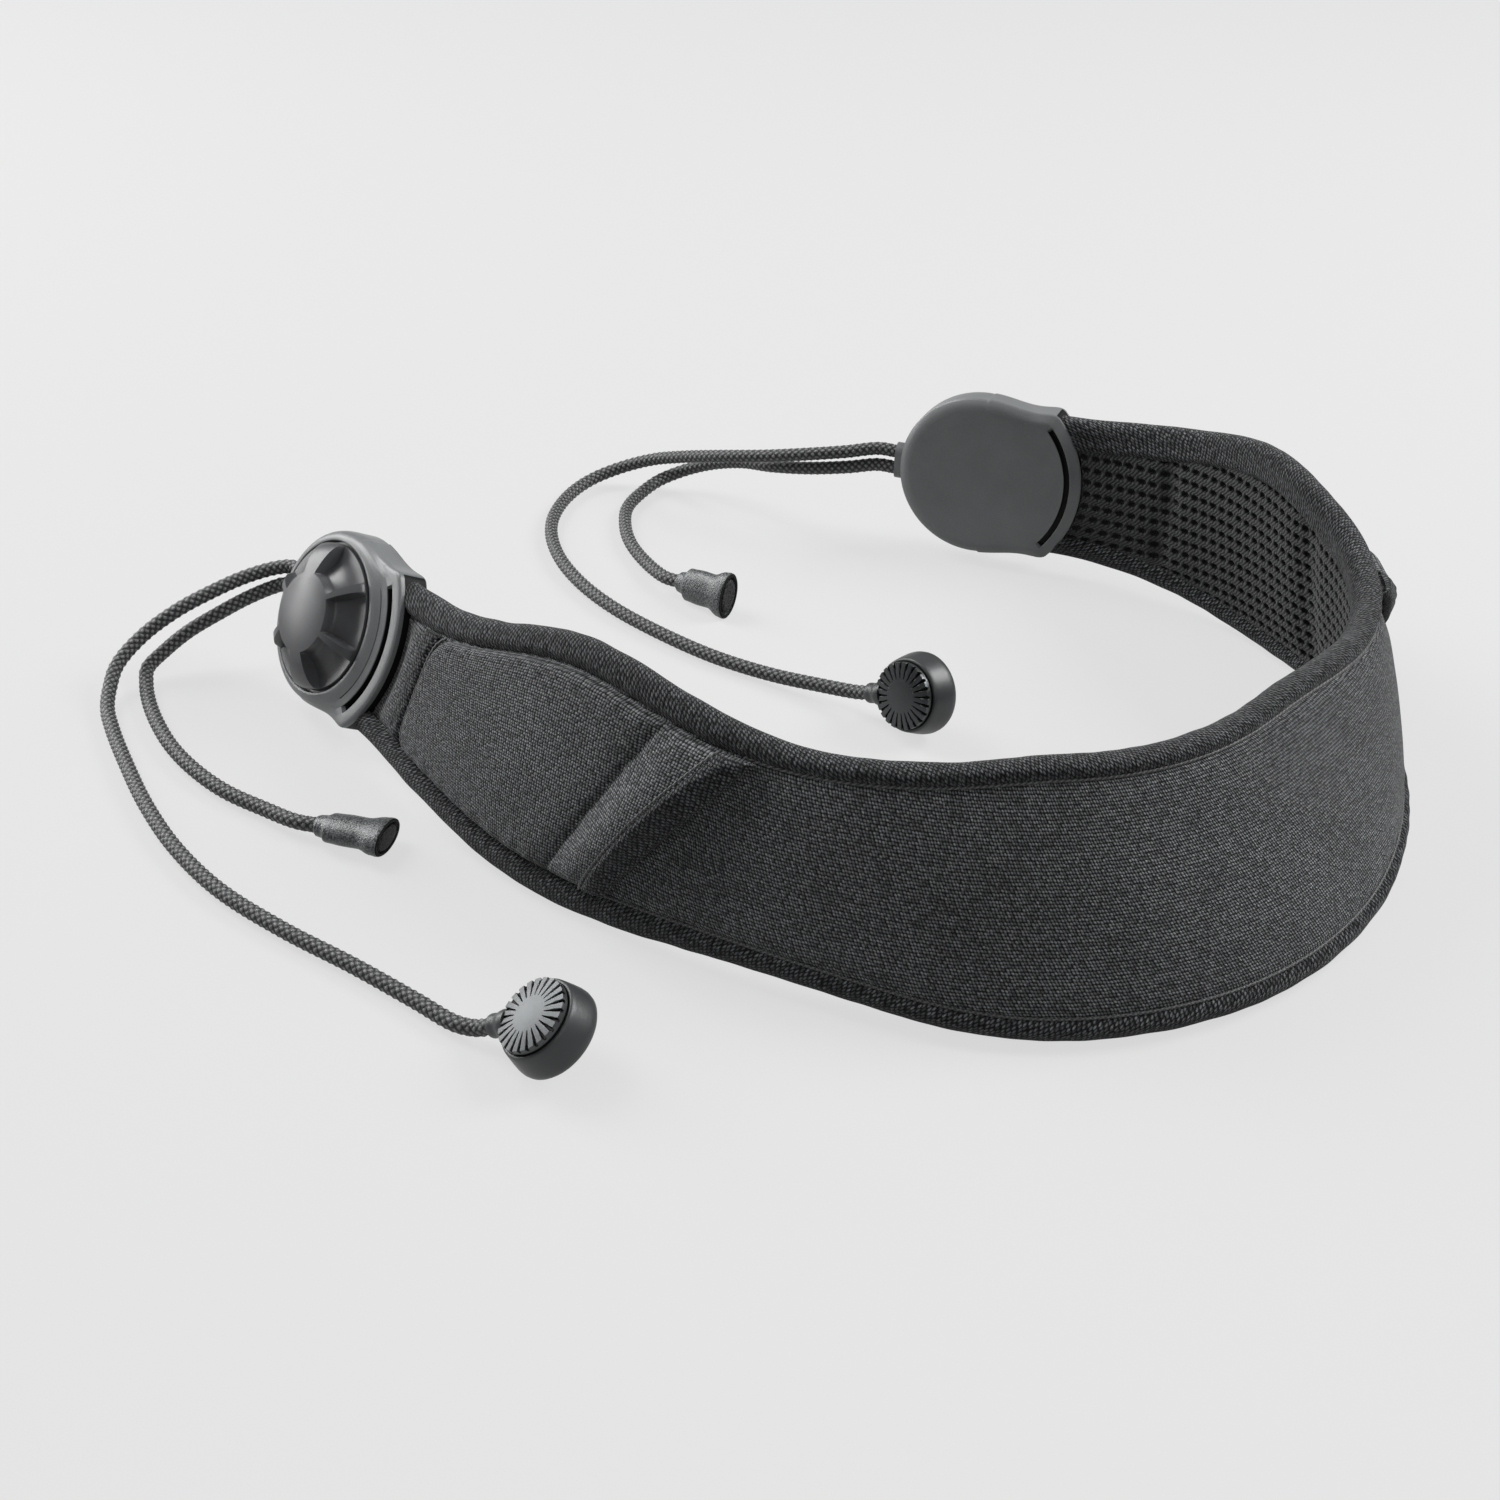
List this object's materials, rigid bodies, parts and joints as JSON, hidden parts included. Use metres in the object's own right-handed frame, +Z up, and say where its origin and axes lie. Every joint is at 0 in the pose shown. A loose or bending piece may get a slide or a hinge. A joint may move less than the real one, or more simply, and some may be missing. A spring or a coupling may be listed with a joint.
{
  "type": "binocular neck strap",
  "caption": "Padded curved neck strap with a twist-lock cord adjuster at each end, braided cords, flared stoppers and round twist connectors.",
  "frame": {"origin": "on the floor under the middle of the strap and its two adjusters", "axes": "+Z up from the strap's lower edge, +X across the horseshoe towards its closed end, +Y away from the near arm"},
  "size_m": [0.3471, 0.2982, 0.0635],
  "materials": {
    "knit": "fine knit, matt",
    "binding": "coarse knit, matt",
    "mesh": "open spacer mesh",
    "foam": "foam",
    "webbing": "woven",
    "housing": "fine satin",
    "knob": "satin",
    "dial": "satin",
    "black_plastic": "matt",
    "rubber": "matt",
    "collar": "soft matt",
    "stopper": "grained",
    "cord": "braided",
    "steel": "brushed"
  },
  "bodies": {
    "strap": {"outer_shell": "knit", "foam_core": "foam", "mesh_lining": "mesh", "upper_binding": "binding", "lower_binding": "binding", "left_pocket_panel": "knit", "left_pocket_binding": "binding", "left_seam_tape": "binding", "left_end_tab": "webbing", "left_tab_rod": "steel", "left_front_shell": "housing", "left_back_cover": "housing", "left_knob_axle": "steel", "left_friction_ring": "rubber", "left_cord_guide": "housing", "left_cord_loop": "cord", "left_long_cord": "cord", "left_short_cord": "cord", "left_stopper_sleeve": "stopper", "left_stopper_plug": "black_plastic", "left_connector_stem": "collar", "left_connector_collar": "collar", "right_pocket_panel": "knit", "right_pocket_binding": "binding", "right_seam_tape": "binding", "right_end_tab": "webbing", "right_tab_rod": "steel", "right_front_shell": "housing", "right_back_cover": "housing", "right_knob_axle": "steel", "right_friction_ring": "rubber", "right_cord_guide": "housing", "right_cord_loop": "cord", "right_long_cord": "cord", "right_short_cord": "cord", "right_stopper_sleeve": "stopper", "right_stopper_plug": "black_plastic", "right_connector_stem": "collar", "right_connector_collar": "collar"},
    "left_knob": {"left_knob": "knob", "left_cam": "steel"},
    "left_shoe": {"left_clamp_shoe": "black_plastic"},
    "left_dial": {"left_connector_dial": "dial", "left_bayonet_socket": "black_plastic", "left_connector_pin": "steel"},
    "right_knob": {"right_knob": "knob", "right_cam": "steel"},
    "right_shoe": {"right_clamp_shoe": "black_plastic"},
    "right_dial": {"right_connector_dial": "dial", "right_bayonet_socket": "black_plastic", "right_connector_pin": "steel"}
  },
  "joints": [
    {"name": "left_knob_turn", "type": "hinge", "parent": "strap", "child": "left_knob", "pos_m": [-0.13056, 0.02185, 0.0253], "axis": [-0.6985, -0.5264, 0.4848], "range_deg": [0, 90]},
    {"name": "left_shoe_slide", "type": "slide", "parent": "strap", "child": "left_shoe", "axis": [-0.6018, 0.7986, 0], "range_m": [-0.0019, 0]},
    {"name": "left_dial_turn", "type": "hinge", "parent": "strap", "child": "left_dial", "pos_m": [-0.06524, -0.12926, 0.0114], "axis": [-0.5821, -0.2004, 0.788], "continuous": true},
    {"name": "right_knob_turn", "type": "hinge", "parent": "strap", "child": "right_knob", "pos_m": [0.04971, 0.10858, 0.02755], "axis": [0.3564, 0.9285, -0.1045], "range_deg": [0, 90]},
    {"name": "right_shoe_slide", "type": "slide", "parent": "strap", "child": "right_shoe", "axis": [-0.9336, 0.3584, 0], "range_m": [-0.0019, 0]},
    {"name": "right_dial_turn", "type": "hinge", "parent": "strap", "child": "right_dial", "pos_m": [0.02278, 0.00495, 0.0119], "axis": [-0.703, -0.6556, 0.2756], "continuous": true}
  ],
  "couplings": [
    {"joint": "left_shoe_slide", "follows": "left_knob_turn", "m_per_rad": -0.0011459},
    {"joint": "right_shoe_slide", "follows": "right_knob_turn", "m_per_rad": -0.0011459}
  ]
}
